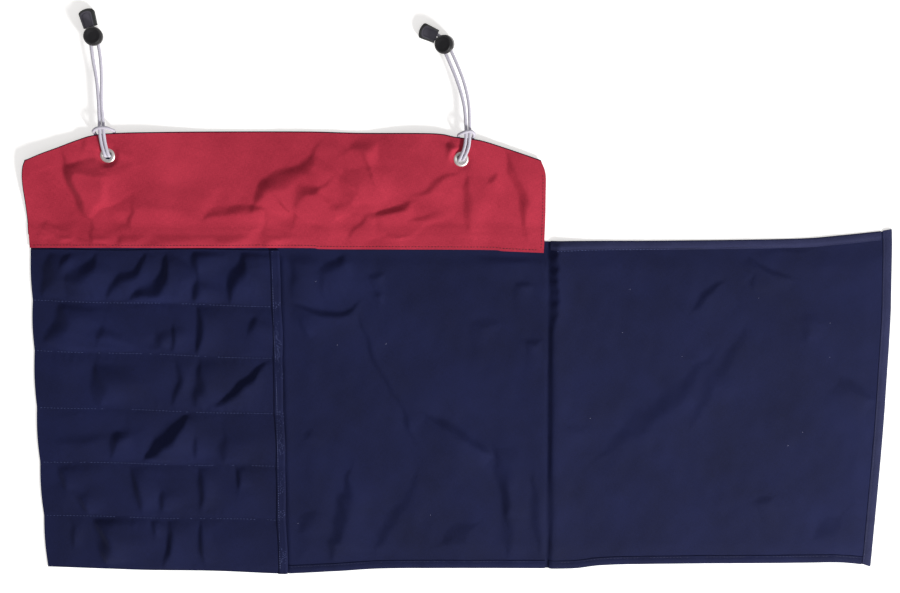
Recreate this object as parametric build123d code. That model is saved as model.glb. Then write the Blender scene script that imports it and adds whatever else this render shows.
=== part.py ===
"""Cloth organizer with six long pockets, a cover flap and a red tie band.

It lies open and face up: x runs along it, y up it and z is up. The origin is at the middle
of the spread cloth, on the surface that it lies on. Every length is in millimetres.
"""

from build123d import *
from math import asin, atan2, cos, degrees, hypot, pi, radians, sin, sqrt, tan
import os

# Cloth
cloth = 0.7  # thickness of one layer of canvas
hem_width = 8.3  # turned hems of the cover and of the bottom edge
fold_gap = 0.3  # between two panels that fold against each other

# Main panel, from the left edge to the crease of the cover
panel_width = 497.5
panel_height = 325.7  # mouth corner at the bottom up to the band's stitched edge
panel_foot_left = 6.7  # how much higher the bottom left corner lies
panel_foot_right = 5.7  # and the bottom of the crease
side_bow = 2.2  # outward swell of the left edge
foot_bow = 2.8  # inward sag of the bottom edge of the middle part

# Pockets
pocket_length = 239.0
pocket_shares_closed = (51, 49, 56, 55, 55, 55)  # widths at the left edge, top to bottom
pocket_shares_mouth = (57, 51, 55, 53, 55, 55)  # widths at the mouth
pocket_rise = 5.5  # room under the cloth of an empty pocket
pocket_taper = 22.0  # length over which a pocket closes at the left edge
pocket_hem_width = 9.5
seam_flat = 3.0  # flat strip along each seam
pocket_top_gap = 0.6  # below the band's stitched edge

# Cover flap
cover_length = 326.5
cover_top_drop = 14.5  # top of the crease, below the fold of the band
cover_corner_drop = 2.7  # top right corner, below the fold of the band
cover_foot_rise = 7.7  # bottom right corner, above the lowest point of the cloth
cover_top_bow = 3.4
cover_side_bow = 5.0
cover_foot_bow = 3.5

# Tie band
band_root = 18.0  # stitched strip below the fold of the band
band_height = 93.0  # fold line to the highest point
band_end_gap = 6.5  # from the right end of the band to the crease
band_root_drop = 5.5  # the stitched edge runs down to the right
band_root_bow = 2.4
band_left_side = 64.0  # fold line to the left shoulder
band_right_side = 58.0
left_shoulder = 70.0  # length of each sloping shoulder
right_shoulder = 99.0
shoulder_bow = 2.4
right_shoulder_bow = 6.0
top_bow = 3.5
backing_peek = 1.0  # lining that shows past the red face
band_tilt = 3.0  # degrees that the cord knots lift the band

# Eyelets
eyelet_from_end = (81.0, 78.7)  # from the left and the right end of the band
eyelet_drop = (22.0, 25.4)  # below the top of the band
eyelet_hole = 3.5  # radius
eyelet_wall = 0.35
eyelet_flange = 7.25  # outer radius
eyelet_dome = 1.1  # height of the flange above the cloth
washer_radius = 7.0
fit_gap = 0.05

# Elastic cord
cord = 3.0  # diameter

# Cord locks, a spring-loaded plunger in a barrel
barrel_radius = 8.7
barrel_foot_radius = 8.2
foot_chamfer = 1.0
barrel_height = 12.0
barrel_floor = 0.9
bore_radius = 6.9
slot_height = 7.0  # centre of the cord slot above the foot
slot_room = 0.4  # above and below the cord
slot_half_width = 5.4
slot_flare = 2.8  # how much wider each side of the slot is at the outside
slot_rise = 1.0  # how much higher and lower it is there
plunger_travel = 1.6
plunger_web = 1.2  # floor of the plunger's window
window_room = 0.35
button_radius = 7.3
button_height = 2.5
button_gap = 0.3  # left above the barrel when the button is pressed home
spring_wire = 0.4
spring_radius = 4.6
spring_turns = 2

# Where each lock lies, from its eyelet, the way that it slides down the cords, and how far it
# leans to the left of the cords on the rim of its foot, in degrees
lock_place = ((-7.2, 109.2), (-15.4, 105.5))
lock_slide = ((0.05, -1.0), (0.40, -0.9165))
lock_lean = (-9.0, 11.0)

# Cord ends, two-part clamps
end_length = 15.2  # near face to the corners of the far end
end_bulge = 2.2  # of the rounded far end
end_near_width = 12.4
end_far_width = 14.6
end_shell = 4.2  # thickness of the lower shell
end_cover = 3.4
end_gap = (0.3, 0.9)  # from each barrel
end_heading = (107.0, 156.5)  # direction that each clamp points in, from the x axis
end_offset = (0.0, -3.4)  # sideways, to the left of that direction
end_depth = 8.0  # of the cord in the clamp
end_strands = 2.1  # from the clamp's middle to each strand
floor_gap = 0.05

# Places that follow from the sizes
left_x = -(panel_width + cover_length) / 2
crease_x = left_x + panel_width
mouth_x = left_x + pocket_length
bottom_y = -(panel_height + band_root + band_height) / 2
root_y = bottom_y + panel_height
fold_y = root_y + band_root
top_y = fold_y + band_height
cover_x = crease_x + fold_gap
pocket_top_z = 3 * cloth + pocket_rise
cover_axis_z = (pocket_top_z + fold_gap + 2 * cloth) / 2
band_bottom_y = fold_y + fold_gap
hem_z = cloth


def bowed(start, end, bow):
    """An edge from start to end that swells to its left by bow."""
    start, end = Vector(*start), Vector(*end)
    along = (end - start).normalized()
    middle = (start + end) * 0.5 + Vector(-along.Y, along.X) * bow
    return ThreePointArc(start, middle, end)


def plate(corners, bows, z, thickness):
    """A flat piece of cloth with one bow for each edge, 0 for a straight one."""
    edges = []
    for i, bow in enumerate(bows):
        start, end = corners[i], corners[(i + 1) % len(corners)]
        edges.append(bowed(start, end, bow) if bow else Line(start, end))
    outline = make_face(Wire(edges))
    return Pos(0, 0, z) * extrude(outline, amount=thickness)


def hem_strip(start, end, bow, inward, panel):
    """A turned hem along one edge of a panel, lying on the panel's cloth."""
    far_end = (end[0] + inward[0], end[1] + inward[1])
    far_start = (start[0] + inward[0], start[1] + inward[1])
    strip = plate([start, end, far_end, far_start], [bow, 0, -bow, 0], hem_z, cloth)
    return strip & (Pos(0, 0, cloth) * panel)


# Main panel

foot_left = (left_x, bottom_y + panel_foot_left)
foot_mouth = (mouth_x, bottom_y)
foot_right = (crease_x, bottom_y + panel_foot_right)
crease_top = (crease_x, fold_y - cover_top_drop)
band_right_x = crease_x - band_end_gap


def main_panel():
    corners = [
        foot_left, foot_mouth, foot_right, crease_top, (band_right_x, fold_y - cover_top_drop),
        (band_right_x, fold_y), (left_x, fold_y),
    ]
    bows = [0, foot_bow, 0, 0, 0, 0, -side_bow]
    return plate(corners, bows, 0, cloth)


def panel_bottom_hem(panel):
    return hem_strip(foot_mouth, foot_right, foot_bow, (0, hem_width), panel)


# Pockets


def share(values, top, bottom):
    """Seam places from top to bottom, spread in proportion to the values."""
    places = [top]
    for value in values:
        places.append(places[-1] - (top - bottom) * value / sum(values))
    return places


def pocket_seams(x):
    """The y of the seven seams at x."""
    top = root_y - pocket_top_gap
    closed = share(pocket_shares_closed, top, foot_left[1])
    mouth = share(pocket_shares_mouth, top, foot_mouth[1])
    part = (x - left_x) / pocket_length
    return [c + (m - c) * part for c, m in zip(closed, mouth)]


def pocket_profile(x, rise, base):
    """Section across the six pockets at x: a row of arches with flat seams between."""
    seams = pocket_seams(x)
    rows = []
    for z in (base, base + cloth):
        row = []
        for upper, lower in zip(seams, seams[1:]):
            start = Vector(x, upper - seam_flat / 2, z)
            end = Vector(x, lower + seam_flat / 2, z)
            crown = (start + end) * 0.5 + Vector(0, 0, rise)
            row.append(Line((x, upper, z), start))
            row.append(ThreePointArc(start, crown, end))
            row.append(Line(end, (x, lower, z)))
        rows.append(row)
    ends = [
        Line((x, seams[-1], base), (x, seams[-1], base + cloth)),
        Line((x, seams[0], base), (x, seams[0], base + cloth)),
    ]
    return make_face(Wire(rows[0] + rows[1] + ends))


def pocket_cloth(stations, base):
    faces = [pocket_profile(x, rise, base) for x, rise in stations]
    return loft(faces, ruled=True)


hem_x = mouth_x - pocket_hem_width
closed_rise = 0.1  # the seam at the left edge holds the cloth down


def pocket_panel():
    stations = [
        (left_x, closed_rise), (left_x + pocket_taper, pocket_rise),
        (hem_x, pocket_rise), (mouth_x, pocket_rise),
    ]
    return pocket_cloth(stations, cloth)


def pocket_hem():
    return pocket_cloth([(hem_x, pocket_rise), (mouth_x, pocket_rise)], 2 * cloth)


# Cover flap

cover_foot_left = (cover_x, foot_right[1])
cover_foot_right = (crease_x + cover_length, bottom_y + cover_foot_rise)
cover_top_right = (crease_x + cover_length, fold_y - cover_corner_drop)
cover_top_left = (cover_x, crease_top[1])


def cover_flap():
    corners = [cover_foot_left, cover_foot_right, cover_top_right, cover_top_left]
    return plate(corners, [cover_foot_bow, -cover_side_bow, cover_top_bow, 0], 0, cloth)


def flap_side_hem(cover):
    side = (-hem_width, 0)
    return hem_strip(cover_foot_right, cover_top_right, -cover_side_bow, side, cover)


def flap_top_hem(cover, side_hem):
    down = (0, -hem_width)
    return hem_strip(cover_top_right, cover_top_left, cover_top_bow, down, cover) - side_hem


def flap_bottom_hem(cover, side_hem):
    up = (0, hem_width)
    return hem_strip(cover_foot_left, cover_foot_right, cover_foot_bow, up, cover) - side_hem


# Tie band


def band_root_strip():
    corners = [
        (left_x, root_y), (band_right_x, root_y - band_root_drop),
        (band_right_x, fold_y), (left_x, fold_y),
    ]
    strip = plate(corners, [band_root_bow, 0, 0, 0], cloth, cloth)
    return strip


def tilted(shape):
    """A piece of the band, turned up about the fold line."""
    return Pos(0, fold_y, 0) * Rot(band_tilt, 0, 0) * Pos(0, -fold_y, 0) * shape


def band_plate(inset, z):
    """The band above its fold, with its outer edges drawn in by inset."""
    left, right = left_x + inset, band_right_x - inset
    drop = top_y - top_bow - inset
    corners = [
        (left, band_bottom_y), (right, band_bottom_y),
        (right, fold_y + band_right_side - inset),
        (right - right_shoulder, drop),
        (left + left_shoulder, drop),
        (left, fold_y + band_left_side - inset),
    ]
    bows = [0, 0, -right_shoulder_bow, -top_bow, -shoulder_bow, -side_bow]
    return plate(corners, bows, z, cloth)


def eyelet_place(i):
    """Centre of an eyelet on the flat band."""
    places = (left_x + eyelet_from_end[0], band_right_x - eyelet_from_end[1])
    return Vector(places[i], top_y - eyelet_drop[i], 0)


def band_front():
    face = band_plate(backing_peek, cloth)
    for i in range(2):
        place = eyelet_place(i) + Vector(0, 0, cloth)
        face -= Pos(*place) * extrude(Circle(eyelet_hole + eyelet_wall), amount=cloth)
    return tilted(face)


def band_backing():
    lining = band_plate(0, 0)
    for i in range(2):
        lining -= Pos(*eyelet_place(i)) * extrude(Circle(washer_radius + fit_gap), amount=cloth)
    return tilted(lining)


def eyelet(i):
    """A tube with a domed flange on the red face."""
    outer = eyelet_hole + eyelet_wall
    seat = 2 * cloth
    ring_middle = (eyelet_hole + eyelet_flange) / 2
    profile = make_face(Wire([
        Line((eyelet_hole, 0, 0), (outer, 0, 0)),
        Line((outer, 0, 0), (outer, 0, seat)),
        Line((outer, 0, seat), (eyelet_flange, 0, seat)),
        ThreePointArc((eyelet_flange, 0, seat), (ring_middle, 0, seat + eyelet_dome),
                      (eyelet_hole, 0, seat)),
        Line((eyelet_hole, 0, seat), (eyelet_hole, 0, 0)),
    ]))
    return tilted(Pos(*eyelet_place(i)) * revolve(profile, Axis.Z))


def eyelet_washer(i):
    """The ring that the eyelet is set against, in the hole of the lining."""
    inner = eyelet_hole + eyelet_wall + fit_gap
    ring = extrude(Circle(washer_radius) - Circle(inner), amount=cloth)
    return tilted(Pos(*eyelet_place(i)) * ring)


def eyelet_on_table(i):
    """The eyelet's centre seen from above, once the band is tilted."""
    place = eyelet_place(i)
    rise = place.Y - fold_y
    return Vector(place.X, fold_y + rise * cos(radians(band_tilt)), 0)


# Cord locks


def lock_centre(i):
    return eyelet_on_table(i) + Vector(*lock_place[i])


def lock_heading(i):
    """Angle of the cords through the lock, away from the band."""
    x, y = lock_slide[i]
    return degrees(atan2(-y, -x))


def slot_level(i):
    """Height of the middle of the slot above the table, with the lock leaning on its foot."""
    lean = radians(abs(lock_lean[i]))
    rim = (barrel_foot_radius - foot_chamfer) * sin(lean)
    return slot_height * cos(lean) + rim + floor_gap


def lock_position(i):
    place = lock_centre(i) + Vector(0, 0, slot_level(i))
    leaning = Rot(0, 0, lock_heading(i)) * Rot(-lock_lean[i], 0, 0)
    return Pos(*place) * leaning * Pos(0, 0, -slot_height)


slot_low = slot_height - cord / 2 - slot_room
slot_high = slot_height + cord / 2 + slot_room
window_low = slot_height - cord / 2 - window_room
window_high = slot_height + cord / 2 + window_room + plunger_travel
stem_radius = bore_radius - fit_gap
stem_foot = window_low - plunger_web
button_low = barrel_height + button_gap + plunger_travel


def lock_barrel(i):
    """Barrel with a bore for the plunger and a flared slot for both strands of the cord."""
    profile = make_face(Wire([
        Line((0, 0, 0), (barrel_foot_radius - foot_chamfer, 0, 0)),
        Line((barrel_foot_radius - foot_chamfer, 0, 0), (barrel_foot_radius, 0, foot_chamfer)),
        ThreePointArc((barrel_foot_radius, 0, foot_chamfer),
                      (barrel_radius - 0.15, 0, barrel_height * 0.45),
                      (barrel_radius, 0, barrel_height - 1.2)),
        Line((barrel_radius, 0, barrel_height - 1.2), (barrel_radius - 1.2, 0, barrel_height)),
        Line((barrel_radius - 1.2, 0, barrel_height), (0, 0, barrel_height)),
        Line((0, 0, barrel_height), (0, 0, 0)),
    ]))
    barrel = revolve(profile, Axis.Z)
    barrel -= Pos(0, 0, barrel_floor) * extrude(Circle(bore_radius), amount=barrel_height)
    for side in (1, -1):
        within = sqrt(bore_radius**2 - slot_half_width**2)
        mouths = [(within, 0, 0), (barrel_radius + 0.1, slot_flare, slot_rise)]
        faces = []
        for x, wider, higher in mouths:
            across = Plane(origin=(side * x, 0, slot_height), x_dir=(0, 1, 0), z_dir=(side, 0, 0))
            width = 2 * (slot_half_width + wider)
            faces.append(across * Rectangle(width, slot_high - slot_low + 2 * higher))
        barrel -= loft(faces, ruled=True)
    return lock_position(i) * barrel


def lock_plunger(i):
    """Stem with a window for the cord, under a dished push button."""
    top = button_low + button_height
    dish = 0.5
    profile = make_face(Polyline(
        (0, 0, stem_foot), (stem_radius, 0, stem_foot), (stem_radius, 0, button_low),
        (button_radius, 0, button_low), (button_radius, 0, top - 1), (button_radius - 1, 0, top),
        (button_radius / 2, 0, top - dish), (0, 0, top - dish), close=True,
    ))
    window = Box(4 * bore_radius, 2 * slot_half_width, window_high - window_low)
    plunger = revolve(profile, Axis.Z) - Pos(0, 0, (window_low + window_high) / 2) * window
    return lock_position(i) * plunger


def lock_spring(i):
    """Coil spring between the floor of the barrel and the plunger."""
    room = stem_foot - barrel_floor - spring_wire - 2 * fit_gap
    helix = Helix(room / spring_turns, room, spring_radius)
    start = Plane(helix @ 0, z_dir=helix % 0)
    coil = sweep(start * RegularPolygon(spring_wire / 2, 6), path=helix)
    return lock_position(i) * Pos(0, 0, barrel_floor + spring_wire / 2 + fit_gap) * coil


# Cord ends


def end_pitch(i):
    """How far a clamp slopes down from the slot until its far end rests on the table."""
    length = end_length + end_bulge
    drop = (slot_level(i) - floor_gap) / hypot(length, end_shell)
    return asin(drop) - atan2(end_shell, length)


def end_position(i):
    """Middle of the clamp's near face at its parting plane, x pointing along the clamp."""
    heading = radians(end_heading[i])
    reach = barrel_radius + end_gap[i]
    centre = lock_centre(i)
    x = centre.X + reach * cos(heading) - end_offset[i] * sin(heading)
    y = centre.Y + reach * sin(heading) + end_offset[i] * cos(heading)
    pitch = degrees(end_pitch(i))
    return Pos(x, y, slot_level(i)) * Rot(0, 0, end_heading[i]) * Rot(0, pitch, 0)


def end_outline(side, far_side, far):
    """Outline of the clamp, wider at its rounded far end, drawn in at its sides and far end."""
    start, corner = -end_cover / 2, end_length - far
    near, wide = end_near_width / 2 - side, end_far_width / 2 - far_side
    outline = make_face(Wire([
        Line((start, -near), (corner, -wide)),
        ThreePointArc((corner, -wide), (corner + end_bulge, 0), (corner, wide)),
        Line((corner, wide), (start, near)),
        Line((start, near), (start, -near)),
    ]))
    far_corners = outline.vertices().sort_by(Axis.X)[2:]
    return fillet(far_corners, 2.4)


def near_face(i, shape):
    """The clamp cut off upright at its near end, so that it seats against the barrel."""
    size = 4 * end_length
    cutter = Rot(0, -degrees(end_pitch(i)), 0) * Pos(-size / 2, 0, 0) * Box(size, size, size)
    return shape - cutter


def cord_channels():
    """The two round channels that the strands run into."""
    channel = Rot(0, 90, 0) * extrude(Circle(cord / 2), amount=end_depth + end_cover)
    return [Pos(-end_cover, side * end_strands, 0) * channel for side in (1, -1)]


def cord_end(i):
    shell = Pos(0, 0, -end_shell) * extrude(end_outline(0, 0, 0), amount=end_shell)
    shell = chamfer(shell.faces().sort_by(Axis.Z)[0].edges(), 0.6)
    return end_position(i) * near_face(i, shell - cord_channels())


def cord_end_cover(i):
    """Upper shell with wide bevels on three sides round a sunk panel."""
    top = Pos(0, 0, end_cover) * end_outline(1.5, 1.9, 3.4)
    cover = loft([end_outline(0, 0, 0), top], ruled=True)
    cover -= Pos(0, 0, end_cover - 0.6) * extrude(end_outline(2.6, 3.2, 4.8), amount=1)
    return end_position(i) * near_face(i, cover - cord_channels())


# Elastic cords, each one length from clamp to clamp and hitched through its eyelet

under_z = cord / 2 + 0.4
hitch_lift = (top_y - eyelet_drop[0] - fold_y) * sin(radians(band_tilt))
over_z = hitch_lift + 2 * cloth + eyelet_dome + cord / 2 + 0.6
bight_z = over_z + cord + 1.2


def end_point(i, depth, side):
    """A point on a cord in its clamp, depth in from the near face."""
    place = end_position(i) * Pos(depth, side * end_strands, 0)
    return tuple(place.position)


def from_eyelet(i, points):
    origin = eyelet_on_table(i)
    return [(origin.X + x, origin.Y + y, z) for x, y, z in points]


def from_lock(i, points):
    """Points given along the cords from the lock's centre and to their left, in its slot."""
    origin = lock_centre(i)
    heading = radians(lock_heading(i))
    placed = []
    for s, t in points:
        x = origin.X + s * cos(heading) - t * sin(heading)
        y = origin.Y + s * sin(heading) + t * cos(heading)
        placed.append((x, y, slot_level(i) - t * tan(radians(lock_lean[i]))))
    return placed


def left_cord_route():
    clamp_a = [end_point(0, end_depth, 1), end_point(0, 0, 1)]
    lock_a = from_lock(0, [(3.0, 3.0)])
    strand_a = from_eyelet(0, [
        (-9.9, 89.0, 8.6), (-6.9, 71.0, 8.5), (-5.2, 50.0, 8.5), (-5.3, 34.0, 8.5),
    ])
    front_a = from_eyelet(0, [(-5.5, 22.0, 8.7), (-4.6, 11.0, over_z), (-1.7, -0.6, over_z)])
    back_a = from_eyelet(0, [(-1.7, -0.6, under_z), (-6.4, 11.0, 2.2)])
    bight = from_eyelet(0, [
        (-12.2, 21.6, 2.7), (-11.7, 22.6, 9.6), (-7.0, 26.0, bight_z),
        (1.4, 26.6, bight_z), (6.8, 23.6, 9.6), (7.2, 22.4, 2.7),
    ])
    back_b = from_eyelet(0, [(3.4, 11.0, 2.2), (1.7, -0.6, under_z)])
    front_b = from_eyelet(0, [(1.7, -0.6, over_z), (-1.0, 11.0, over_z), (-1.9, 22.0, 8.7)])
    strand_b = from_eyelet(0, [
        (-2.1, 34.0, 8.2), (-2.9, 50.0, 8.0), (-2.4, 69.0, 7.8), (-2.5, 87.0, 7.5),
    ])
    lock_b = from_lock(0, [(-7.0, -3.7), (3.0, -2.8)])
    clamp_b = [end_point(0, 0, -1), end_point(0, end_depth, -1)]
    return (clamp_a + lock_a + strand_a + front_a + back_a + bight + back_b + front_b
            + strand_b + lock_b + clamp_b)


def right_cord_route():
    clamp_a = [end_point(1, end_depth, 1), end_point(1, 0, 1)]
    lock_a = from_lock(1, [(4.6, 3.1), (-5.0, 2.6)])
    strand_a = from_eyelet(1, [
        (-9.4, 86.0, 7.8), (-2.6, 69.5, 7.9), (2.6, 52.0, 8.1), (4.2, 36.0, 8.3),
    ])
    front_a = from_eyelet(1, [(4.7, 21.0, 8.7), (3.2, 10.0, over_z), (-1.7, -0.9, over_z)])
    back_a = from_eyelet(1, [(-1.7, -0.9, under_z), (-2.4, 9.5, 2.2)])
    bight = from_eyelet(1, [
        (-2.6, 21.9, 2.7), (-1.9, 23.0, 9.6), (3.2, 25.6, bight_z),
        (9.0, 26.6, bight_z), (12.2, 24.0, 9.6), (12.0, 21.4, 2.7),
    ])
    back_b = from_eyelet(1, [(6.6, 10.5, 2.2), (1.8, -0.6, under_z)])
    front_b = from_eyelet(1, [(1.8, -0.6, over_z), (7.0, 9.5, over_z), (8.2, 21.0, 8.8)])
    strand_b = from_eyelet(1, [
        (7.9, 36.0, 8.8), (7.2, 53.0, 8.9), (2.6, 71.5, 9.0), (-3.0, 85.5, 9.0),
    ])
    lock_b = from_lock(1, [(-7.0, -3.2), (4.0, -1.6)])
    clamp_b = [end_point(1, 0, -1), end_point(1, end_depth, -1)]
    return (clamp_a + lock_a + strand_a + front_a + back_a + bight + back_b + front_b
            + strand_b + lock_b + clamp_b)


def corner_radii(points):
    """The largest arc that each corner's shorter run allows."""
    radii = []
    for before, corner, after in zip(points, points[1:], points[2:]):
        arriving, leaving = corner - before, after - corner
        half_turn = radians(arriving.get_angle(leaving)) / 2
        radii.append(0.45 * min(arriving.length, leaving.length) / tan(half_turn))
    return radii


def elastic_cord(route):
    points = [Vector(*point) for point in route]
    radii = corner_radii(points)
    path = FilletPolyline(*points, radius=radii)
    start = Plane(path @ 0, z_dir=path % 0)
    tube = sweep(start * Circle(cord / 2), path=path)
    expected = pi * (cord / 2) ** 2 * path.length
    print("cord length", round(path.length, 1), "radii", [round(r, 1) for r in radii])
    print("cord volume", round(tube.volume, 1), "of", round(expected, 1))
    return tube


# All nodes


def parts():
    panel = main_panel()
    cover = cover_flap()
    side_hem = flap_side_hem(cover)
    yield "main_panel", panel
    yield "panel_bottom_hem", panel_bottom_hem(panel)
    yield "pocket_panel", pocket_panel()
    yield "pocket_hem", pocket_hem()
    yield "band_root_strip", band_root_strip()
    yield "cover_flap", cover
    yield "flap_side_hem", side_hem
    yield "flap_top_hem", flap_top_hem(cover, side_hem)
    yield "flap_bottom_hem", flap_bottom_hem(cover, side_hem)
    yield "band_front", band_front()
    yield "band_backing", band_backing()
    routes = (left_cord_route(), right_cord_route())
    for i, side in enumerate(("left", "right")):
        yield "eyelet_" + side, eyelet(i)
        yield "eyelet_washer_" + side, eyelet_washer(i)
        yield "elastic_cord_" + side, elastic_cord(routes[i])
        yield "lock_barrel_" + side, lock_barrel(i)
        yield "lock_plunger_" + side, lock_plunger(i)
        yield "lock_spring_" + side, lock_spring(i)
        yield "cord_end_" + side, cord_end(i)
        yield "cord_end_cover_" + side, cord_end_cover(i)


os.makedirs("parts", exist_ok=True)
for name, shape in parts():
    shape.label = name
    export_step(shape, "parts/" + name + ".step")
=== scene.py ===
"""Dresses the cloth organizer: cloth, stitching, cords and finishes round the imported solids.

Lengths are written in millimetres and turned into metres where a mesh is made.
"""

import math

import bpy
import numpy as np
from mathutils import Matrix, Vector


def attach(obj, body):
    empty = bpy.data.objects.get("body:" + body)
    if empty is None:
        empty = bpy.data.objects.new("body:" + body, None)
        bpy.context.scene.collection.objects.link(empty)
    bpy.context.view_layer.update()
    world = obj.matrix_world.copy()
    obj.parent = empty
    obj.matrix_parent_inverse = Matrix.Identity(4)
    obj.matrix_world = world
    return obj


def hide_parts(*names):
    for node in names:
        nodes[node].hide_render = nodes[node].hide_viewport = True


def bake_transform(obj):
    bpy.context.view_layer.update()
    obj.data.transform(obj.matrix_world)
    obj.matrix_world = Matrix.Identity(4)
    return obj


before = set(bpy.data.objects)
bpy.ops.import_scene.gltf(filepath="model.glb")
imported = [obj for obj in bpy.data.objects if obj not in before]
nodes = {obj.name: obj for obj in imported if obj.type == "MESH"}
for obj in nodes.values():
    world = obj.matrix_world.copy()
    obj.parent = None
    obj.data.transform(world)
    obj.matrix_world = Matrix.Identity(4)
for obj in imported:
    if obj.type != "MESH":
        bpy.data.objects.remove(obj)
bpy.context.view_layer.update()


# Camera, lamp and floor
# The organizer lies on a white floor and is seen from above, a little from its top edge.
# A low soft lamp at the bottom right draws the folds, and the sky fills the shade.

mm = 0.001
camera_data = bpy.data.cameras.new("camera")
camera_data.lens = 50
camera_data.sensor_width = 36
camera = bpy.data.objects.new("camera", camera_data)
camera.location = (-10.1 * mm, 267.4 * mm, 1182.1 * mm)
camera.rotation_euler = (math.radians(-9.9), 0, 0)
bpy.context.scene.collection.objects.link(camera)
bpy.context.scene.camera = camera
bpy.context.scene.view_settings.view_transform = "Standard"

lamp_distance = 5000 * mm
lamp_angle = 13
lamp_strength = 4.15
light_runs = Vector((-0.75, 0.80, -0.62))
lamp = bpy.data.lights.new("key", "AREA")
lamp.shape = "DISK"
lamp.size = 2 * lamp_distance * math.tan(math.radians(lamp_angle / 2))
lamp.energy = lamp_strength * math.pi * lamp_distance**2
soft_box = bpy.data.objects.new("key", lamp)
soft_box.location = -lamp_distance * light_runs.normalized()
soft_box.rotation_mode = "QUATERNION"
soft_box.rotation_quaternion = light_runs.to_track_quat("-Z", "Y")
bpy.context.scene.collection.objects.link(soft_box)


class Value:
    """A number or colour that a node of a finish gives. Arithmetic on it adds Math nodes."""

    def __init__(self, finish, socket):
        self.finish = finish
        self.socket = socket

    def math(self, operation, first, second):
        return self.finish.node("Math", {"operation": operation}, {0: first, 1: second})

    def __add__(self, other):
        return self.math("ADD", self, other)

    def __radd__(self, other):
        return self.math("ADD", other, self)

    def __sub__(self, other):
        return self.math("SUBTRACT", self, other)

    def __rsub__(self, other):
        return self.math("SUBTRACT", other, self)

    def __mul__(self, other):
        return self.math("MULTIPLY", self, other)

    def __rmul__(self, other):
        return self.math("MULTIPLY", other, self)

    def sine(self):
        return self.finish.node("Math", {"operation": "SINE"}, {0: self})

    def output(self, number):
        """Another output of the same node."""
        return Value(self.finish, self.socket.node.outputs[number])


class Finish:
    """A material and the nodes of its surface."""

    def __init__(self, name):
        self.material = bpy.data.materials.new(name)
        self.material.use_nodes = True
        self.tree = self.material.node_tree
        self.tree.nodes.clear()
        self.output = self.tree.nodes.new("ShaderNodeOutputMaterial")

    def node(self, kind, settings, sockets, output=0):
        """A node of that kind; settings go on it first, then values and links on its sockets."""
        made = self.tree.nodes.new("ShaderNode" + kind)
        for name, value in settings.items():
            setattr(made, name, value)
        for name, value in sockets.items():
            if isinstance(value, Value):
                self.tree.links.new(value.socket, made.inputs[name])
            else:
                made.inputs[name].default_value = value
        return Value(self, made.outputs[output])

    def mix(self, share, first, second):
        """A colour between two, the second where share is 1."""
        settings = {"data_type": "RGBA"}
        return self.node("Mix", settings, {0: share, 6: first, 7: second}, output=2)

    def noise(self, place, scale, detail):
        """Cloudy values about 0.5; scale is how many clouds there are to a metre."""
        return self.node("TexNoise", {}, {"Vector": place, "Scale": scale, "Detail": detail})

    def surface(self, shader):
        """Puts the shader on the material, which is then whole."""
        self.tree.links.new(shader.socket, self.output.inputs["Surface"])
        return self.material


world = bpy.data.worlds.new("room")
bpy.context.scene.world = world
world.use_nodes = True
room = world.node_tree
room.nodes.clear()
sky = room.nodes.new("ShaderNodeBackground")
sky.inputs["Color"].default_value = (0.97, 0.97, 1.0, 1)
sky.inputs["Strength"].default_value = 0.38
white = room.nodes.new("ShaderNodeBackground")
white.inputs["Strength"].default_value = 1.0
white.inputs["Color"].default_value = (1, 1, 1, 1)
seen = room.nodes.new("ShaderNodeLightPath")
either = room.nodes.new("ShaderNodeMixShader")
room.links.new(seen.outputs["Is Camera Ray"], either.inputs[0])
room.links.new(sky.outputs[0], either.inputs[1])
room.links.new(white.outputs[0], either.inputs[2])
room.links.new(either.outputs[0], room.nodes.new("ShaderNodeOutputWorld").inputs[0])

half = 8000 * mm
floor_below = 0.05
floor_mesh = bpy.data.meshes.new("floor")
floor_corners = [(-half, -half, 0), (half, -half, 0), (half, half, 0), (-half, half, 0)]
floor_mesh.from_pydata(floor_corners, [], [(0, 1, 2, 3)])
floor = bpy.data.objects.new("floor", floor_mesh)
floor.location.z = -floor_below * mm
bpy.context.scene.collection.objects.link(floor)
pale = Finish("pale_floor")
path = pale.node("LightPath", {}, {})
glow = pale.node("Emission", {}, {"Color": (1, 0.975, 0.95, 1), "Strength": 0.54})
matt = pale.node("BsdfDiffuse", {}, {"Color": (0.86, 0.86, 0.85, 1)})
lit_floor = pale.node("AddShader", {}, {0: glow, 1: matt})
floor_mesh.materials.append(
    pale.surface(pale.node("MixShader", {}, {0: path, 1: matt, 2: lit_floor}))
)


# Main panel and cover
# One length of navy canvas makes the back of the pockets, the open middle part and the cover.
# It is creased where the cover folds over, and lies on the floor with soft packing folds.

cloth = 0.7
foot_y = -212.0
foot_left, foot_right = (-411.0, foot_y), (408.6, -210.4)
top_left, top_right = (-410.4, 124.6), (409.6, 124.4)
mouth_x = -172.8
cover_edge = 411.5
band_end_x = 79.2
band_seam_y = 112
crease_x = 85.5
crease_shift = 1.2
crease_top_y = 107
crease_lean = 0.0072
crease_wall = 4.2
crease_tail = 24
pocket_seams_left = (106.4, 57.6, 8.5, -47.8, -103.0, -158.2, foot_y)
scallop_depth = 1.1
weave_pitch = 0.62
canvas_fuzz = 0.04
canvas_rough = 0.74
sheet_columns, sheet_rows = 440, 180


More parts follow.
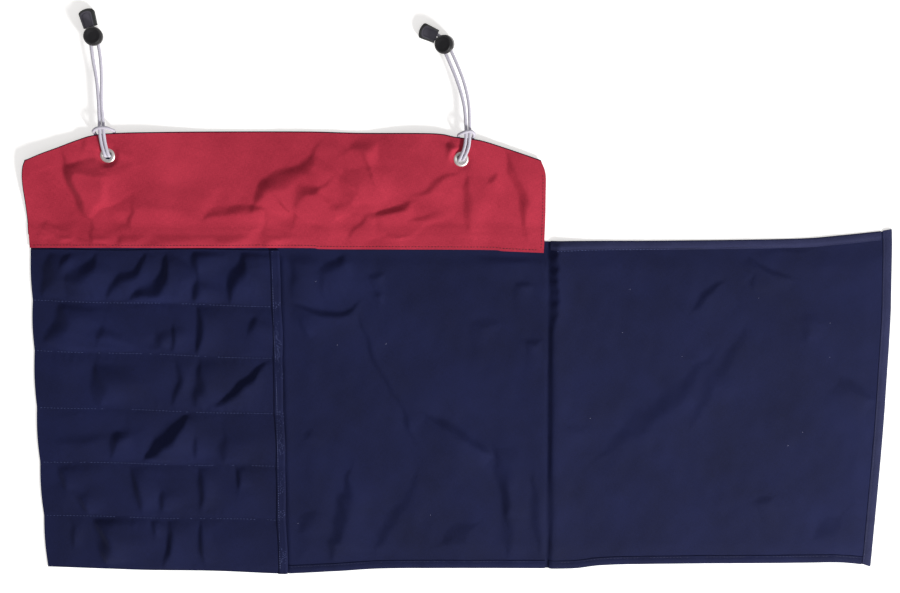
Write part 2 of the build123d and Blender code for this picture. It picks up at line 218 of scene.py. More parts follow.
def line_through(points, steps):
    """Places spaced evenly along a smooth line through the points, as an array."""
    points = np.array(points, float)
    ends = np.concatenate([[2 * points[0] - points[1]], points, [2 * points[-1] - points[-2]]])
    dense = []
    part = np.linspace(0, 1, 24, endpoint=False)[:, None]
    for before, start, end, after in zip(ends, ends[1:], ends[2:], ends[3:]):
        slope_in, slope_out = (end - before) / 2, (after - start) / 2
        dense.append(
            (2 * part**3 - 3 * part**2 + 1) * start + (part**3 - 2 * part**2 + part) * slope_in
            + (3 * part**2 - 2 * part**3) * end + (part**3 - part**2) * slope_out
        )
    dense = np.concatenate([*dense, points[-1:]])
    length = np.concatenate([[0], np.cumsum(np.linalg.norm(np.diff(dense, axis=0), axis=1))])
    even = np.linspace(0, length[-1], steps + 1)
    return np.stack([np.interp(even, length, dense[:, axis]) for axis in range(2)], 1)


def spread_between(foot, top, left, right):
    """A grid of places between four edge lines that meet at the corners."""
    u = np.linspace(0, 1, len(foot))[None, :, None]
    v = np.linspace(0, 1, len(left))[:, None, None]
    sides = (1 - v) * foot[None] + v * top[None] + (1 - u) * left[:, None] + u * right[:, None]
    corners = (1 - v) * ((1 - u) * foot[0] + u * foot[-1]) + v * ((1 - u) * top[0] + u * top[-1])
    grid = sides - corners
    return grid[..., 0], grid[..., 1]


def soft_step(value):
    """A smooth rise from 0 to 1 as the value goes from 0 to 1."""
    value = np.clip(value, 0, 1)
    return value * value * (3 - 2 * value)


def keep_above(height, sharpness):
    """The height where it is above 0, and 0 below, with a soft turn between."""
    return np.logaddexp(height * sharpness, 0) / sharpness


def uneven(x, y, size, seed):
    """Gentle rises and dips from about -1 to 1, roughly size apart."""
    chance = np.random.default_rng(seed)
    total = np.zeros(np.shape(x))
    for turn in chance.uniform(0, 2 * math.pi, 10):
        wave = 2 * math.pi / size * chance.uniform(0.6, 1.5)
        shift = chance.uniform(0, 2 * math.pi)
        total = total + np.sin((x * math.cos(turn) + y * math.sin(turn)) * wave + shift)
    return total / 4


def fold(x, y, points, width, slope):
    """Height of a soft fold: a slope on its shaded side, then a long fall towards the light."""
    nearest = np.full(np.shape(x), 1e9)
    along = np.zeros(np.shape(x))
    away = np.zeros(np.shape(x))
    pieces = 10
    places = line_through(points, pieces)
    chord = places[-1] - places[0]
    light_x, light_y = 0.68, -0.73
    lit = 1 if light_x * chord[1] - light_y * chord[0] > 0 else -1
    for i, (start, end) in enumerate(zip(places, places[1:])):
        step = end - start
        run = np.hypot(*step)
        part = ((x - start[0]) * step[0] + (y - start[1]) * step[1]) / run**2
        held = np.clip(part, 0, 1)
        distance = np.hypot(x - start[0] - held * step[0], y - start[1] - held * step[1])
        aside = ((x - start[0]) * step[1] - (y - start[1]) * step[0]) / run
        closer = distance < nearest
        along = np.where(closer, (i + held) / pieces, along)
        away = np.where(closer, aside * lit, away)
        nearest = np.where(closer, distance, nearest)
    past_end = np.sqrt(np.maximum(nearest**2 - away**2, 0))
    wide = width * (0.12 + 0.88 * np.sin(math.pi * along) ** 0.8)
    crisp = min(max((slope - 0.25) * 2, 0), 0.6)
    across = away / wide + 0.5
    rise = soft_step(across) * (1 - crisp) + np.clip(across, 0, 1) * crisp
    fall = np.exp(-((np.maximum(away - wide / 2, 0) / (1.1 * width + 4)) ** 1.6))
    dip = np.exp(-((np.maximum(-away - wide / 2, 0) / (0.8 * width + 3)) ** 1.6))
    ends = np.exp(-((past_end / (0.5 * width + 3)) ** 2))
    return slope * wide * (rise * fall - 0.38 * dip * (1 - soft_step(across))) * ends


def folds(x, y, rows):
    """All the folds of one cloth, a little wavy; a row holds a line, a width and a slope."""
    bent_x = x + 1.7 * uneven(x, y, 30, 21)
    bent_y = y + 1.7 * uneven(x, y, 30, 23)
    return sum(fold(bent_x, bent_y, *row) for row in rows)


def make_piece(name, vertices, faces, flat, finish, body=None):
    """A mesh piece from places in millimetres, with the flat cloth's places as its UV map."""
    mesh = bpy.data.meshes.new(name)
    mesh.from_pydata((np.asarray(vertices) * mm).tolist(), [], [list(face) for face in faces])
    mesh.validate()
    layer = mesh.uv_layers.new(name="cloth")
    corner = np.zeros(len(mesh.loops), int)
    mesh.loops.foreach_get("vertex_index", corner)
    layer.data.foreach_set("uv", (np.asarray(flat)[corner] * mm).ravel())
    mesh.shade_smooth()
    mesh.set_sharp_from_angle(angle=math.radians(55))
    mesh.materials.append(finish)
    piece = bpy.data.objects.new(name, mesh)
    bpy.context.scene.collection.objects.link(piece)
    if body:
        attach(piece, body)
    return piece


def closed_sheet(name, x, y, top, finish, body=None, thickness=cloth, holes=()):
    """A sheet of cloth with two faces, a rim and punched holes; top is its upper face."""
    upper = np.stack([x, y, top], -1).reshape(-1, 3)
    lower = np.stack([x, y, top - thickness], -1).reshape(-1, 3)
    index = np.arange(x.size).reshape(x.shape)
    a, b, c, d = (part.ravel() for part in (
        index[:-1, :-1], index[:-1, 1:], index[1:, 1:], index[1:, :-1]))
    kept = np.ones(a.size, bool)
    side = []
    for place in holes:
        middle = (upper[a] + upper[c]) / 2
        cell = np.argmin((middle[:, 0] - place[0]) ** 2 + (middle[:, 1] - place[1]) ** 2)
        kept[cell] = False
        ring = [a[cell], b[cell], c[cell], d[cell]]
        side += [[start, end, end + x.size, start + x.size]
                 for start, end in zip(ring, ring[1:] + ring[:1])]
    up = np.stack([a, b, c, d], -1)[kept]
    down = np.stack([a, d, c, b], -1)[kept] + x.size
    rim = np.concatenate([index[0, :-1], index[:-1, -1], index[-1, :0:-1], index[:0:-1, 0]])
    after = np.roll(rim, -1)
    edge = np.stack([rim + x.size, after + x.size, after, rim], -1)
    faces = np.concatenate([up, down, edge]).tolist() + side
    vertices = np.concatenate([upper, lower])
    return make_piece(name, vertices, faces, vertices[:, :2], finish, body)


def colour(red, green, blue):
    """A colour written in 0 to 255 as a screen shows it."""
    linear = []
    for part in (red, green, blue):
        part = part / 255
        linear.append(part / 12.92 if part <= 0.04045 else ((part + 0.055) / 1.055) ** 2.4)
    return (*linear, 1)


def woven(name, base, faded_and_lit, painted_light_from=None):
    """Plain-woven canvas: two sets of threads, slubs, and a slightly faded mottled colour.

    It is painted a little lighter from painted_light_from on, which is in metres along the cloth:
    painted light, standing in for brighter light on the far part of the cover.
    """
    finish = Finish(name)
    place = finish.node("UVMap", {"uv_map": "cloth"}, {})
    along = finish.node("SeparateXYZ", {}, {0: place})
    across = along.output(1)
    turns = 2 * math.pi / (weave_pitch * mm)
    threads = (along * turns).sine() * (across * turns).sine()
    warp = finish.node("Mapping", {}, {"Vector": place, "Scale": (1, 9, 1)})
    weft = finish.node("Mapping", {}, {"Vector": place, "Scale": (9, 1, 1)})
    slubs = finish.noise(warp, 260, 3) + finish.noise(weft, 260, 3)
    cloudy = finish.noise(place, 24, 4)
    grain = finish.noise(place, 900, 2)
    broad = finish.noise(place, 7, 1)
    share = (cloudy - 0.5) * 0.9 + (broad - 0.5) * 0.7 + (slubs - 1.0) * 0.8
    share = share + (grain - 0.5) * 0.5 + 0.5
    # Painted light: the cloth is painted lighter from painted_light_from on.
    if painted_light_from is not None:
        share = share + finish.node("Clamp", {}, {"Value": (along - painted_light_from) * 6}) * 0.2
    clipped = finish.node("Clamp", {}, {"Value": share})
    tint = finish.mix(clipped, base, faded_and_lit)
    relief = threads * 0.30 + slubs * 0.55 + grain * 0.35
    bump = finish.node(
        "Bump", {}, {"Height": relief, "Strength": 0.55, "Distance": 0.35 * mm}
    )
    shader = finish.node("BsdfPrincipled", {}, {
        "Base Color": tint, "Roughness": (grain - 0.5) * 0.12 + canvas_rough, "Normal": bump,
        "Sheen Weight": canvas_fuzz, "Sheen Roughness": 0.4, "Specular IOR Level": 0.14,
    })
    return finish.surface(shader)


# The canvas is painted lighter from 0.25 m along the cloth, as painted light on the far part of
# the cover.
navy_canvas = woven("navy_canvas", colour(14, 18, 47), colour(26, 32, 74), painted_light_from=0.25)
navy_pocket = woven("navy_pocket", colour(13, 17, 46), colour(25, 31, 73))
navy_hem_cloth = woven("navy_hem_cloth", colour(34, 37, 68), colour(55, 58, 95))
red_canvas = woven("red_canvas", colour(151, 32, 52), colour(202, 58, 79))

middle_folds = [
    ([(-158, 54), (-144, 48), (-116, 45), (-99, 54)], 9.1, 0.3),
    ([(-171, 63), (-163, 82), (-170, 103)], 16.0, 0.15),
    ([(-135, 87), (-125, 89), (-113, 100)], 13.2, 0.21),
    ([(-120, 96), (-109, 105)], 6.7, 0.23),
    ([(-86, 81), (-75, 84)], 7.9, 0.17),
    ([(-84, 66), (-75, 67)], 6.7, 0.15),
    ([(-96, 43), (-90, 17), (-80, -10), (-58, -42)], 5.3, 0.25),
    ([(-62, -38), (-52, -60), (-44, -84)], 7.9, 0.15),
    ([(-34, -55), (-2, -73), (22, -88), (33, -99)], 14.0, 0.25),
    ([(34, -93), (39, -110), (43, -132), (46, -162)], 13.0, 0.2),
    ([(40, -135), (46, -165), (46, -203)], 13.2, 0.12),
    ([(-153, -81), (-145, -71)], 7.9, 0.11),
    ([(-108, -112), (-114, -139), (-119, -168), (-128, -188), (-126, -208)], 14.0, 0.2),
    ([(-42, -114), (-51, -139), (-77, -176), (-83, -198)], 16.0, 0.09),
    ([(-18, -186), (15, -166)], 21.3, 0.08),
    ([(16, 100), (71, 96)], 7.9, 0.17),
    ([(53, 77), (69, 75)], 7.9, 0.17),
    ([(-155, 40), (-146, 22)], 5.3, 0.21),
    ([(9, 36), (35, 36)], 13.2, 0.08),
    ([(62, 18), (78, 19)], 7.9, 0.2),
    ([(-160, -176), (-145, -151)], 16.0, 0.09),
    ([(71, -114), (74, -163), (79, -198)], 10.6, 0.15),
]
cover_folds = [
    ([(136, -98), (175, -63), (213, -31), (241, 2)], 24.0, 0.085),
    ([(226, -66), (242, -26), (260, -1), (274, 29)], 16.7, 0.075),
    ([(223, 46), (239, 68), (253, 76)], 7.0, 0.2),
    ([(278, 102), (286, 90), (300, 84), (317, 80)], 8.4, 0.18),
    ([(279, 82), (279, 65)], 4.5, 0.16),
    ([(370, -18), (383, -28), (403, -41)], 11.2, 0.14),
    ([(331, 46), (332, 19)], 13.9, 0.08),
    ([(291, -145), (308, -139)], 11.2, 0.11),
    ([(352, -183), (375, -160)], 25.1, 0.06),
    ([(92, -66), (126, -68)], 13.9, 0.05),
    ([(280, 103), (335, 109)], 8.4, 0.1),
]


def crease(x, y):
    """The pressed line where the cover turns over: a valley between two soft lifts."""
    middle = crease_x + (crease_top_y - y) * crease_lean - crease_shift
    off = x - middle
    waver = 1 + 0.3 * uneven(0 * x, y, 11, 5) + 0.3 * uneven(0 * x, y, 27, 6)
    ragged = soft_step((y - 26) / 22) * waver
    wall = crease_wall + crease_wall * np.clip(ragged, 0, 1.6)
    left = (1 - np.exp(off / 3.5)) * np.exp(off / crease_tail) * 1.2
    past_wall = np.maximum(off - 2 * crease_wall, 0)
    right = np.clip(off / wall, 0, 1) * np.exp(-past_wall / crease_tail)
    right = right * (3.6 + 2.2 * soft_step((y - 20) / 50))
    lift = np.where(off < 0, left, right)
    return lift * (1 - 0.5 * soft_step((-185 - y) / 30))


def loose(x, y):
    """How far the cloth lies from its edges and seams, from 0 there to 1 where it is loose."""
    sides = np.minimum(x - mouth_x - 4, cover_edge - x)
    ends = np.minimum(y - foot_y, band_seam_y - y)
    return soft_step(np.minimum(sides, ends) / 26)


def ground(x, y):
    """Height of the upper face of the main panel and the cover."""
    lying = 0.35 * (uneven(x, y, 90, 3) + 1) + 0.12 * (uneven(x, y, 26, 4) + 1)
    clear_of_band = 1 - soft_step((y - (band_seam_y - 20)) / 14) * (x < crease_x - 2.5)
    free = loose(x, y)
    in_middle, in_cover = x < crease_x + 2.5, x > crease_x - 3.5
    shape = folds(x, y, middle_folds) * in_middle + folds(x, y, cover_folds) * in_cover
    shape = shape * soft_step((x - mouth_x - 6) / 10)
    shape = shape * (0.35 + 0.65 * soft_step((y - foot_y) / 14)) + 1.3 * free
    shape = keep_above(shape, 2.2) - 0.31
    past_mouth = x - mouth_x - 0.4
    under_mouth = np.clip(past_mouth / 2.4, 0, 1) * np.exp(-np.maximum(past_mouth - 2.4, 0) / 22)
    shape = shape + crease(x, y) * soft_step((band_seam_y + 8 - y) / 12) + 1.4 * under_mouth
    return cloth + lying * (0.35 + 0.65 * free) + np.clip(shape, 0, 9) * clear_of_band


def scallop(y):
    """How far the left edge swells between the pocket seams."""
    total = np.zeros(np.shape(y))
    for upper, lower in zip(pocket_seams_left, pocket_seams_left[1:]):
        part = np.clip((upper - y) / (upper - lower), 0, 1)
        total = total + scallop_depth * np.sin(math.pi * part)
    return total


def left_edge(steps):
    """The cloth's left edge from its foot up, with a small swell at each pocket."""
    line = line_through([foot_left, (-412.6, -130), (-413.0, -51), (-411.6, 30),
                         (-410.2, 90), top_left], steps)
    line[:, 0] -= scallop(line[:, 1]) - 0.6
    return line


cover_side_line = line_through([foot_right, (411.4, -128), (413.0, -60), (413.4, 34),
                                (412.4, 67), (410.8, 106), top_right], sheet_rows)
cover_top_line = line_through([(85.6, 114.6), (135, 114.7), (201, 114.9), (316, 116.6),
                               (361, 119.9), (399, 123.8), top_right], 130)
foot_line = line_through([foot_left, (-339, -214.6), (-260, -215.4), (-196, -217.2),
                          (-171.5, -218.4), (-124, -216.4), (-76, -213.6), (0, -213.2),
                          (86.6, -213.2), (116, -213), (140, -210.2), (187, -208.9),
                          (331, -207.8), (379, -207.4), foot_right], sheet_columns)
top_x = foot_line[:, 0] * (top_right[0] - top_left[0]) / (foot_right[0] - foot_left[0])
top_x += top_left[0] - top_x[0]
beside_band = np.interp(top_x, cover_top_line[:, 0], cover_top_line[:, 1])
top_y = np.where(top_x < band_end_x, top_left[1], beside_band)
sheet_top = np.stack([top_x, top_y], 1)
sheet_top[-1] = top_right
sheet_x, sheet_y = spread_between(foot_line, sheet_top, left_edge(sheet_rows), cover_side_line)
main_sheet = closed_sheet(
    "main_cloth", sheet_x, sheet_y, ground(sheet_x, sheet_y), navy_canvas
)
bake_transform(main_sheet)
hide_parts("main_panel", "cover_flap")


# Pocket cloth
# A second layer of canvas lies over the left part. It is sewn down along its closed left end,
# its top and foot and five seams between, which makes six pockets open towards the middle.

edge_left = -411.8
hem_x = -181.3
pockets = 6
pocket_seams_mouth = (106.4, 51.8, 0.6, -55.0, -108.1, -163.1, -218.6)
pocket_width = 54
pocket_rise = 1.6
pocket_gap = 0.15
opens_over = 26
pocket_columns, pocket_rows = 144, 26
pocket_folds = [
    ([(-400, 62), (-395, 84), (-391, 104)], 16.2, 0.23),
    ([(-379, 81), (-360, 84), (-348, 101)], 12.7, 0.35),
    ([(-383, 90), (-375, 99), (-371, 106)], 6.9, 0.29),
    ([(-338, 60), (-330, 75), (-309, 87), (-301, 105)], 10.4, 0.35),
    ([(-321, 58), (-302, 64), (-284, 78), (-280, 101)], 13.9, 0.43),
    ([(-256, 107), (-252, 84)], 10.4, 0.35),
    ([(-252, 76), (-254, 55)], 9.2, 0.43),
    ([(-251, 51), (-251, 29), (-255, 4)], 8.8, 0.43),
    ([(-250, -2), (-253, -25), (-258, -48)], 9.8, 0.35),
    ([(-208, 107), (-209, 88), (-219, 75), (-222, 54)], 13.9, 0.35),
    ([(-383, 54), (-386, 35), (-401, 20)], 20.8, 0.22),
    ([(-344, 33), (-350, 17)], 13.9, 0.22),
    ([(-293, 24), (-290, 11)], 9.2, 0.29),
    ([(-275, 31), (-278, 8)], 5.8, 0.35),
    ([(-196, 43), (-205, 24)], 10.4, 0.24),
    ([(-352, -5), (-353, -25), (-351, -46)], 20.8, 0.22),
    ([(-274, -3), (-274, -25), (-281, -45)], 7.5, 0.35),
    ([(-188, -1), (-209, -25), (-240, -48)], 6.2, 0.58),
    ([(-264, -54), (-276, -69), (-293, -87), (-311, -101)], 11.4, 0.56),
    ([(-320, -73), (-337, -79), (-342, -96)], 11.6, 0.32),
    ([(-394, -80), (-366, -80), (-339, -77)], 9.2, 0.17),
    ([(-258, -78), (-260, -99)], 5.0, 0.35),
    ([(-231, -76), (-233, -106)], 13.9, 0.15),
    ([(-322, -110), (-319, -131), (-314, -154)], 9.8, 0.35),
    ([(-296, -135), (-293, -154)], 6.9, 0.35),
    ([(-257, -109), (-255, -151)], 7.9, 0.39),
    ([(-221, -108), (-218, -132)], 6.5, 0.39),
    ([(-394, -110), (-390, -131)], 11.6, 0.22),
    ([(-379, -138), (-367, -160)], 9.2, 0.3),
    ([(-361, -163), (-354, -185), (-351, -210)], 17.3, 0.35),
    ([(-288, -163), (-289, -188), (-296, -210)], 7.9, 0.35),
    ([(-303, -164), (-304, -180)], 6.9, 0.25),
    ([(-257, -163), (-259, -183), (-254, -210)], 6.9, 0.35),
    ([(-383, -166), (-385, -190)], 6.9, 0.23),
]


def seam_y(number, x):
    """Where one of the pockets' seams lies at x; seam 0 is the top one."""
    part = (x - edge_left) / (hem_x - edge_left)
    left, mouth = pocket_seams_left[number], pocket_seams_mouth[number]
    return left + (mouth - left) * part + 0.5 * np.sin(x / 23.0 + number)


def pocket_top(x, y, part, number):
    """Height of the upper face of a pocket; part runs from its upper seam to its lower."""
    open_up = soft_step((x - edge_left) / opens_over)
    puff = (4 * part * (1 - part)) ** 1.3
    lively = 0.72 + 0.30 * uneven(x, y, 55, 30 + number)
    seam_gap = np.minimum(part, 1 - part) * pocket_width
    pinned = 0.15 + 0.85 * (1 - np.exp(-((seam_gap / 4) ** 2)))
    pucker = 0.16 * uneven(x, y, 9, 50 + number) * np.exp(-((seam_gap - 4) / 6) ** 2)
    own_folds = []
    for row in pocket_folds:
        middle_x, middle_y = np.mean(row[0], axis=0)
        if seam_y(number + 1, middle_x) - 3 < middle_y < seam_y(number, middle_x) + 3:
            own_folds.append(row)
    creased = folds(x, y, own_folds) * pinned * soft_step((x - edge_left) / 14)
    rise = pocket_rise * puff * lively * (0.15 + 0.85 * open_up)
    shape = rise + creased + pucker * open_up + 0.5 * open_up * pinned
    shape = np.clip(keep_above(shape, 2.6) - 0.26, 0, 8.5)
    return 2 * cloth + pocket_gap + shape * (1 - 0.8 * soft_step((y - 99) / 8))


rows_x, rows_y, rows_top = [], [], []
to_mouth = np.linspace(0, 1, pocket_columns + 1)
edge_x, edge_y = left_edge(200).T
for number in range(pockets):
    for part in (1 - np.cos(np.linspace(0, math.pi, pocket_rows + 1)[:-1])) / 2:
        rough_y = pocket_seams_left[number] * (1 - part) + pocket_seams_left[number + 1] * part
        start = np.interp(rough_y, edge_y, edge_x)
        end = mouth_x + 0.5 * math.sin(rough_y / 19) + 0.9 * math.sin(math.pi * part)
        x = start + (end - start) * to_mouth
        y = seam_y(number, x) * (1 - part) + seam_y(number + 1, x) * part
        rows_x.append(x)
        rows_y.append(y)
        rows_top.append(pocket_top(x, y, part, number))
x = np.linspace(foot_left[0], mouth_x, pocket_columns + 1)
rows_x.append(x)
rows_y.append(seam_y(pockets, x))
rows_top.append(pocket_top(x, rows_y[-1], 1.0, pockets - 1))
pocket_x, pocket_y, pocket_z = (np.array(rows[::-1]) for rows in (rows_x, rows_y, rows_top))
pocket_sheet = closed_sheet("pocket_cloth", pocket_x, pocket_y, pocket_z, navy_pocket, "mat")
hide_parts("pocket_panel")


def stitches(name, starts, ends, height, thread, body=None, proud=0.22, width=0.48):
    """Thread stitches from starts to ends, each a small lens half sunk into the cloth."""
    sunk_ends, sunk_middle = 0.10, 0.3
    step = ends - starts
    side = np.stack([-step[:, 1], step[:, 0]], 1) / np.hypot(*step.T)[:, None] * width / 2
    middle = (starts + ends) / 2
    level = height(*middle.T)
    corners = [
        np.column_stack([starts, height(*starts.T) - sunk_ends]),
        np.column_stack([middle + side, level]),
        np.column_stack([ends, height(*ends.T) - sunk_ends]),
        np.column_stack([middle - side, level]),
        np.column_stack([middle, level + proud]),
        np.column_stack([middle, level - sunk_middle]),
    ]
    vertices = np.stack(corners, 1).reshape(-1, 3)
    upper = [(1, 4, 0), (2, 4, 1), (3, 4, 2), (0, 4, 3)]
    lower = [(5, 1, 0), (5, 2, 1), (5, 3, 2), (5, 0, 3)]
    lens = np.array(upper + lower)
    faces = (lens[None] + 6 * np.arange(len(step))[:, None, None]).reshape(-1, 3).tolist()
    return make_piece(name, vertices, faces, vertices[:, :2], thread, body)


def stitch_row(name, line, height, thread, body=None, length=2.3, pitch=3.3, worn=True,
               **shape):
    """A row of stitches along a line, pitch apart; in a worn row many have sunk out of sight."""
    line = np.asarray(line, float)
    run = np.concatenate([[0], np.cumsum(np.hypot(*np.diff(line, axis=0).T))])
    count = int(run[-1] / pitch)
    chance = np.random.default_rng(len(name) + count)
    start = np.arange(count) * pitch + chance.uniform(0, 0.3, count)
    if worn:
        sunk = uneven(start, 0 * start, 45, sum(name.encode())) < -0.3
        start = start[~sunk | (chance.random(count) < 0.3)]
    end = start + length * chance.uniform(0.8, 1.1, len(start))
    starts, ends = (np.stack([np.interp(place, run, column) for column in line.T], 1)
                    for place in (start, end))
    ends += chance.uniform(-0.12, 0.12, ends.shape)
    return stitches(name, starts, ends, height, thread, body, **shape)


def spun(name, base, worn):
    """Twisted sewing thread, a little shiny."""
    finish = Finish(name)
    place = finish.node("TexCoord", {}, {}, output=3)
    fibre = finish.noise(place, 2400, 2)
    bump = finish.node("Bump", {}, {"Height": fibre, "Strength": 0.4, "Distance": 0.1 * mm})
    return finish.surface(finish.node("BsdfPrincipled", {}, {
        "Base Color": finish.mix(fibre, base, worn), "Roughness": fibre * 0.2 + 0.5,
        "Normal": bump,
    }))


pale_thread = spun("pale_thread", colour(58, 68, 112), colour(100, 112, 162))
navy_thread = spun("navy_thread", colour(26, 29, 58), colour(50, 54, 90))


def on_pockets(x, y):
    """Height of the pocket cloth at seams, which are pinned down to the panel."""
    open_up = soft_step((x - edge_left) / opens_over)
    return 2 * cloth + 0.2 + 0.24 * open_up + 0 * y


for number in range(1, pockets):
    seam_x = np.linspace(-409.5, hem_x + 8, 90)
    row = np.column_stack([seam_x, seam_y(number, seam_x)])
    seam_stitches = stitch_row("pocket_seam_%d" % number, row, on_pockets, pale_thread, "mat")


# Pocket mouth hem
# The open edge of the pocket cloth is turned back once, which makes a strip two layers thick
# that follows the rise of every pocket. A pale row of stitches holds it down, and most of it
# is overcast with short pale ticks besides.

mouth_hem_width = 9.3
mouth_hem_thick = 1.1
hem_cells = 8
hem_fullness = np.array([0.05, 1.0, 1, 1, 1, 0.8, 1, 0.75, 0.15])
hem_edge_x = pocket_x[:, -1:] + 0.35
to_edge = np.linspace(0, 1, hem_cells + 1)
hem_part_x = hem_edge_x - mouth_hem_width * (1 - to_edge)
hem_rows_y = pocket_y[:, -1:] + (pocket_y[:, -5:-4] - pocket_y[:, -1:]) * (1 - to_edge)
hem_rows_z = np.stack([
    np.interp(row_x, column_x, column_z)
    for row_x, column_x, column_z in zip(hem_part_x, pocket_x, pocket_z)
])
hem_top = hem_rows_z + mouth_hem_thick * hem_fullness
mouth_hem = closed_sheet("pocket_mouth_hem", hem_part_x, hem_rows_y, hem_top, navy_pocket,
                         "mat", thickness=mouth_hem_thick * hem_fullness[None, :] + 0.1)
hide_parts("pocket_hem")


def on_mouth_hem(x, y):
    """Height of the hem's upper face."""
    row = np.clip(np.searchsorted(hem_rows_y[:, 0], y), 0, len(hem_rows_y) - 1)
    cell = np.clip((x - hem_part_x[row, 0]) / mouth_hem_width, 0, 0.999) * hem_cells
    low = cell.astype(int)
    return hem_top[row, low] * (1 - cell + low) + hem_top[row, low + 1] * (cell - low)


mouth_row = line_through([(-179.5, 106), (-179.5, 55), (-179.2, 22), (-178.3, -28),
                          (-178.8, -96), (-179.1, -154), (-179.1, -216)], 120)
mouth_stitches = stitch_row("mouth_hem_stitches", mouth_row, on_mouth_hem, pale_thread, "mat",
                            length=1.7, pitch=2.5, worn=False, width=0.6)
overcast_spans = ((56, 46), (38, -21), (-52, -96), (-113, -136), (-153, -161), (-192, -208))
overcast_pitch = 0.8
overcast_tick = (1.7, 0.3)
overcast_y = np.concatenate([np.arange(upper, lower, -overcast_pitch)
                             for upper, lower in overcast_spans])
chance = np.random.default_rng(8)
overcast_x = np.interp(-overcast_y, -mouth_row[:, 1], mouth_row[:, 0])
overcast_x += 0.8 + 4.6 * chance.random(len(overcast_y)) ** 1.5
overcast_starts = np.column_stack([overcast_x, overcast_y])
overcast = stitches("mouth_hem_overcast", overcast_starts, overcast_starts + overcast_tick,
                    on_mouth_hem, pale_thread, "mat", proud=0.16, width=0.45)


# Turned hems of the cover and of the bottom edge
# The cover's side and top are bound with a strip of lighter navy, and along the foot the
# canvas itself is turned over. Each hem is stitched down along its inner side.

binding_width = 8.3
foot_hem_width = 8.0
corner_lap = 7.6
foot_row_in = 6.7
hem_face = 0.72


def hem_along(name, line, inward, width, finish, body, stop_short=0.0):
    """A turned hem that wraps the edge of the main cloth along a line.

    inward is 1 where the cloth lies to the left of the line's run, and -1 to the right.
    """
    line = np.asarray(line)
    step = np.gradient(line, axis=0)
    length = np.concatenate([[0], np.cumsum(np.hypot(*np.diff(line, axis=0).T))])
    keep = length <= length[-1] - stop_short
    step = step[keep] / np.hypot(*step[keep].T)[:, None]
    across = np.stack([-step[:, 1], step[:, 0]], 1) * inward
    line, length = line[keep], length[keep]
    # Depth in from the edge and height, from the sewn side round the edge and back below.
    section = [(width, 0.05), (width - 0.25, 0.55), (width - 1.4, 0.45), (width - 2.6, 0.85),
               (width * 0.5, 0.95), (1.2, 0.85), (0.1, 0.5), (-0.5, -0.1), (-0.45, -0.55),
               (0.2, -0.78), (1.5, -0.72), (width - 1, -0.1)]
    vertices, flat = [], []
    for depth, lift in section:
        place = line + across * depth
        height = ground(*(line + across * max(depth, 0.3)).T) + lift
        height += 0.10 * uneven(place[:, 0], place[:, 1], 12, 70)
        vertices.append(np.column_stack([place, np.maximum(height, 0.03)]))
        flat.append(np.stack([length, np.full(len(length), depth)], 1))
    rings = np.array(vertices).transpose(1, 0, 2)
    count, around = rings.shape[:2]
    index = np.arange(count * around).reshape(count, around)
    turned = np.roll(index, -1, axis=1)
    faces = np.stack([index[:-1], turned[:-1], turned[1:], index[1:]], -1).reshape(-1, 4).tolist()
    faces += [index[0, ::-1].tolist(), index[-1].tolist()]
    if inward < 0:
        faces = [face[::-1] for face in faces]
    flat = np.array(flat).transpose(1, 0, 2).reshape(-1, 2)
    return make_piece(name, rings.reshape(-1, 3), faces, flat, finish, body)


hem_end_line = np.concatenate([[(408.2, -211.6)], cover_side_line, [(409.3, 126.2)]])
side_hem = hem_along("cover_side_hem", hem_end_line, 1, binding_width, navy_hem_cloth, "flap")
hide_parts("flap_side_hem")
top_hem = hem_along("cover_top_hem", cover_top_line, -1, binding_width, navy_hem_cloth,
                    "flap", stop_short=corner_lap)
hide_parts("flap_top_hem")
bottom_right = foot_line[foot_line[:, 0] > crease_x + 1.2]
bottom_hem = hem_along("cover_bottom_hem", bottom_right, 1, foot_hem_width, navy_canvas,
                       "flap", stop_short=corner_lap)
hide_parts("flap_bottom_hem")
bottom_middle = foot_line[(foot_line[:, 0] > mouth_x - 1) & (foot_line[:, 0] < crease_x + 0.6)]
middle_hem = hem_along("panel_edge_hem", bottom_middle, 1, foot_hem_width, navy_canvas, "mat")
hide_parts("panel_bottom_hem")


def on_hem(x, y):
    """Height of the stitched side of a turned hem."""
    return ground(x, y) + hem_face


top_row = line_through([(91, 105.6), (137, 106.6), (199, 107.3), (270, 108.6), (330, 111.6),
                        (398, 116.9)], 120)
pale_part = 44
side_row = line_through([(401.6, -203), (404.6, -130), (405.6, -60), (406.0, 34), (404.6, 80),
                         (402.6, 118)], 120)
right_foot_row = bottom_right[6:-4] + (0, foot_row_in)
middle_foot_row = bottom_middle[2:-2] + (0, foot_row_in)
for name, row, body, thread, worn, proud in (
    ("pale_top_stitches", top_row[:pale_part], "flap", pale_thread, False, 0.22),
    ("top_hem_stitches", top_row[pale_part:], "flap", navy_thread, True, 0.1),
    ("side_hem_stitches", side_row, "flap", navy_thread, True, 0.1),
    ("right_foot_stitches", right_foot_row, "flap", navy_thread, True, 0.1),
    ("middle_foot_stitches", middle_foot_row, "mat", navy_thread, True, 0.1),
):
    row_stitches = stitch_row(name, row, on_hem, thread, body, worn=worn, proud=proud)


# Lint
# Dark canvas that has been handled catches lint: a few short pale fibres lie on the open
# middle part and on the cover.

lint = spun("lint", colour(150, 154, 186), colour(206, 208, 228))
fibre_step = (0.3, 1.1)
lint_places = {
    "mat": [(-138.5, 75.7), (-119, 13.4), (-71.9, 14.6), (-29.5, -158.5), (-160.7, -167.1)],
    "flap": [(162.1, 67.9), (285.6, 59.4), (334, -73.7), (320.5, -87.1), (214, 1.8),
             (155.9, 25.9), (355.2, 35), (356.9, 1.3), (126.3, -59.3)],
}
for body, places in lint_places.items():
    places = np.array(places)
    lint_tufts = stitches("lint_" + body, places, places + fibre_step, ground, lint, body)


# Tie band
# A red canvas band is sewn over the top edge of the organizer, and folds over with it. The
# eyelets in it hold the two cords that the roll is tied with.

